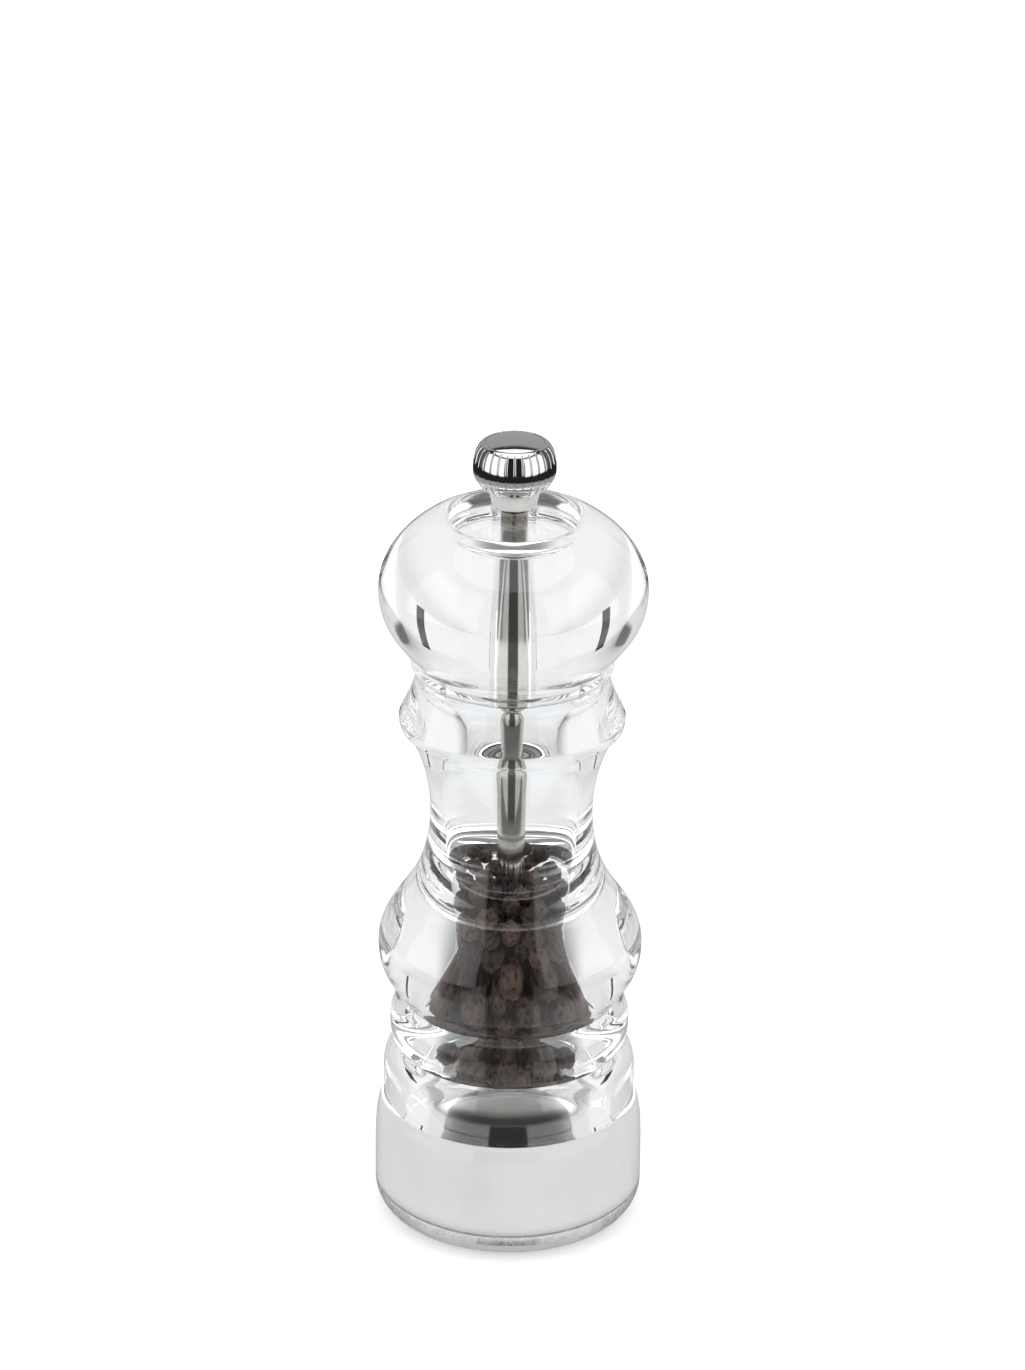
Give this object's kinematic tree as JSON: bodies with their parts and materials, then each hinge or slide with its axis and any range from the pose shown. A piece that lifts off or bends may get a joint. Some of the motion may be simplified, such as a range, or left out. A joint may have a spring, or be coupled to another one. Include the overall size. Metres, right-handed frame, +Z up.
{
  "type": "pepper mill",
  "caption": "Clear acrylic pepper mill: turned body and head, ribbed chromed adjusting knob on a steel shaft, steel grinding set in the drum, black peppercorns inside.",
  "frame": {"origin": "centre of the base", "axes": "+Z up along the mill's axis, from the drum to the knob; the mill is turned, so +X and +Y only fix the azimuth of the three screws"},
  "size_m": [0.0582, 0.0582, 0.1802],
  "materials": {
    "clear_acrylic": "polished",
    "white_plastic": "moulded",
    "collar_nylon": "satin",
    "chromed_metal": "polished",
    "shaft_steel": "turned",
    "spring_steel": "plain",
    "burr_steel": "hardened",
    "knob_brass": "turned",
    "peppercorn": "wrinkled"
  },
  "bodies": {
    "mill_body": {"body": "clear_acrylic", "housing": "white_plastic", "circlip": "spring_steel", "stator": "burr_steel", "stator_screws": "spring_steel", "bearing_bridge": "shaft_steel", "bridge_screws": "spring_steel", "peppercorns": "peppercorn"},
    "drive": {"drive_bush": "white_plastic", "thrust_washer": "spring_steel", "spring": "spring_steel"},
    "grinding_shaft": {"shaft": "shaft_steel", "rotor": "burr_steel", "rotor_washer": "spring_steel", "lock_nut": "spring_steel"},
    "turning_head": {"head": "clear_acrylic", "collar": "collar_nylon"},
    "adjusting_knob": {"knob": "chromed_metal", "knob_insert": "knob_brass", "knob_cap": "chromed_metal"}
  },
  "joints": [
    {"name": "head_turn", "type": "hinge", "parent": "mill_body", "child": "drive", "pos_m": [0, 0, 0.13], "axis": [0, 0, 1], "continuous": true},
    {"name": "head_lift", "type": "slide", "parent": "drive", "child": "turning_head", "axis": [0, 0, 1], "range_m": [0, 0.06]},
    {"name": "knob_turn", "type": "hinge", "parent": "turning_head", "child": "adjusting_knob", "pos_m": [0, 0, 0.174], "axis": [0, 0, 1], "range_deg": [-360, 360]},
    {"name": "shaft_feed", "type": "slide", "parent": "drive", "child": "grinding_shaft", "axis": [0, 0, 1], "range_m": [-0.0007, 0.0007], "deforming": ["spring"]}
  ],
  "couplings": [
    {"joint": "knob_turn", "follows": "shaft_feed", "rad_per_m": -8976}
  ]
}
